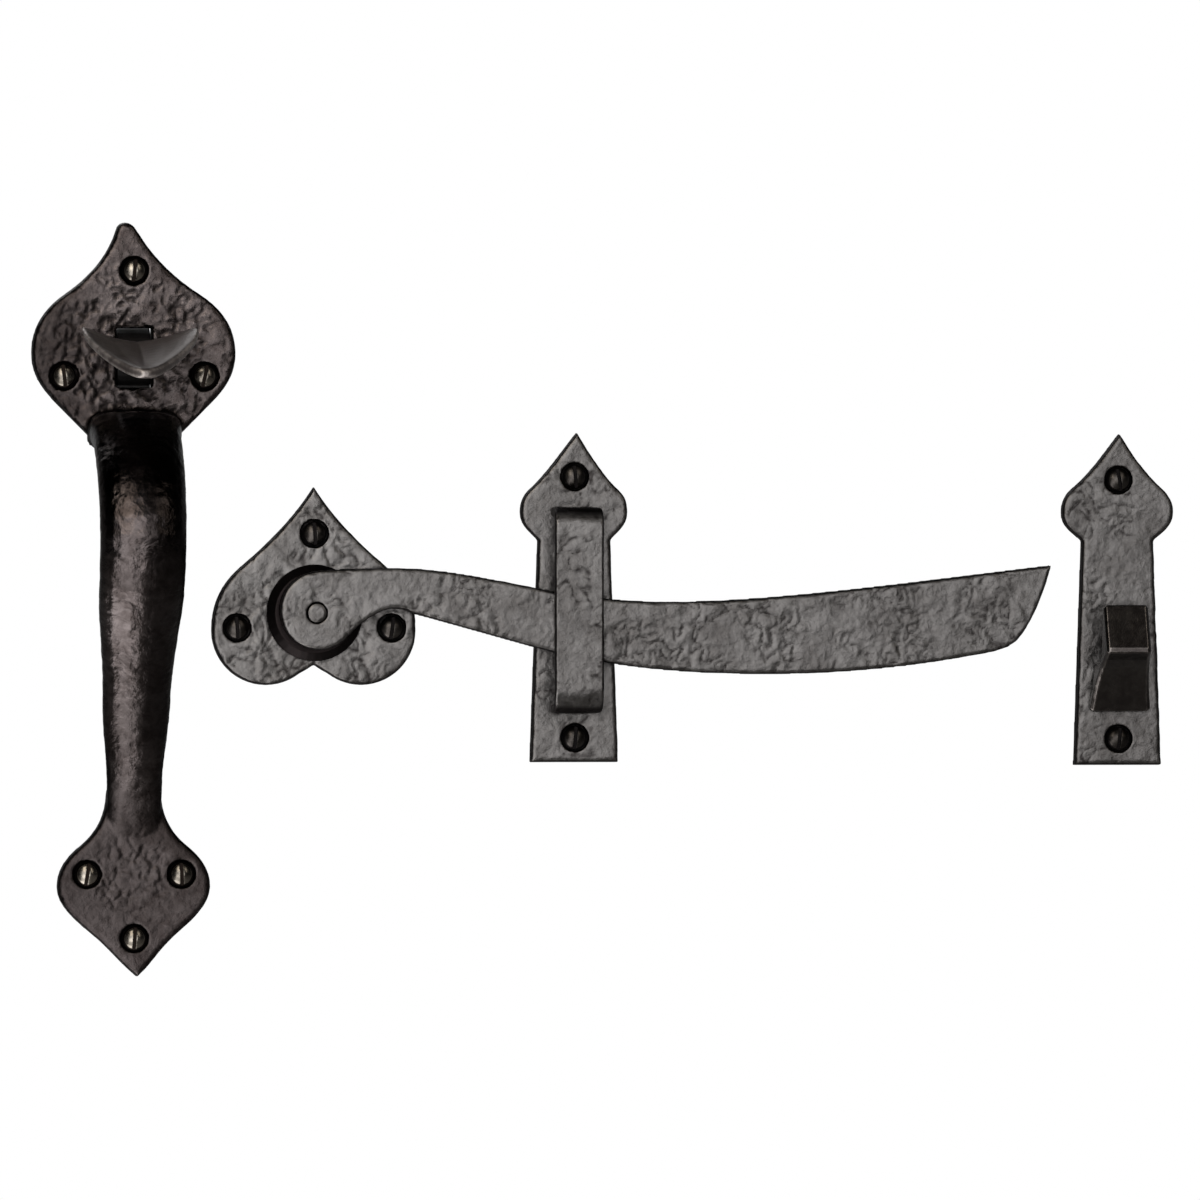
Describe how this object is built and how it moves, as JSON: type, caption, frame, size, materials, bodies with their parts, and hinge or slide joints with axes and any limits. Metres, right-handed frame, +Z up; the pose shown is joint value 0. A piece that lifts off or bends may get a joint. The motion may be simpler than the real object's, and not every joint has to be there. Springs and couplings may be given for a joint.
{
  "type": "thumb latch",
  "caption": "Rustic black cast thumb latch set: bow handle with thumb press, fall bar on a heart plate, guide plate with staple and keeper with hook.",
  "frame": {"origin": "on the door face, at the back of the guide plate, level with the fall bar's pivot", "axes": "+X along the door from the handle towards the keeper, +Y into the door, +Z up; every front faces -Y"},
  "size_m": [0.2944, 0.1134, 0.1921],
  "materials": {
    "handle_black": "glossy brown-black lacquer over a pitted, hammered casting",
    "plate_black": "satin black lacquer over a hammered casting, with black in the hollows and round the edges",
    "smooth_black": "smooth satin black",
    "fastener_black": "blackened steel, worn on the heads"
  },
  "bodies": {
    "door_plates": {"handle": "handle_black", "thumb_pivot_pin": "fastener_black", "heart_plate": "plate_black", "pivot_spacer": "smooth_black", "pivot_rivet": "fastener_black", "guide_plate": "plate_black", "guide_staple": "plate_black", "keeper_plate": "plate_black", "keeper_hook": "smooth_black", "handle_screw_top": "fastener_black", "handle_screw_upper_left": "fastener_black", "handle_screw_upper_right": "fastener_black", "handle_screw_lower_left": "fastener_black", "handle_screw_lower_right": "fastener_black", "handle_screw_bottom": "fastener_black", "heart_screw_top": "fastener_black", "heart_screw_left": "fastener_black", "heart_screw_right": "fastener_black", "guide_screw_top": "fastener_black", "guide_screw_bottom": "fastener_black", "keeper_screw_top": "fastener_black", "keeper_screw_bottom": "fastener_black"},
    "fall_bar": {"latch_bar": "plate_black"},
    "thumb_lever": {"thumb_press": "smooth_black"}
  },
  "joints": [
    {"name": "bar_pivot", "type": "hinge", "parent": "door_plates", "child": "fall_bar", "pos_m": [-0.0668, -0.0089, 0], "axis": [0, -1, 0], "range_deg": [0, 15]},
    {"name": "thumb_pivot", "type": "hinge", "parent": "door_plates", "child": "thumb_lever", "pos_m": [-0.1128, 0.0052, 0.0646], "axis": [1, 0, 0], "range_deg": [0, 24]}
  ]
}
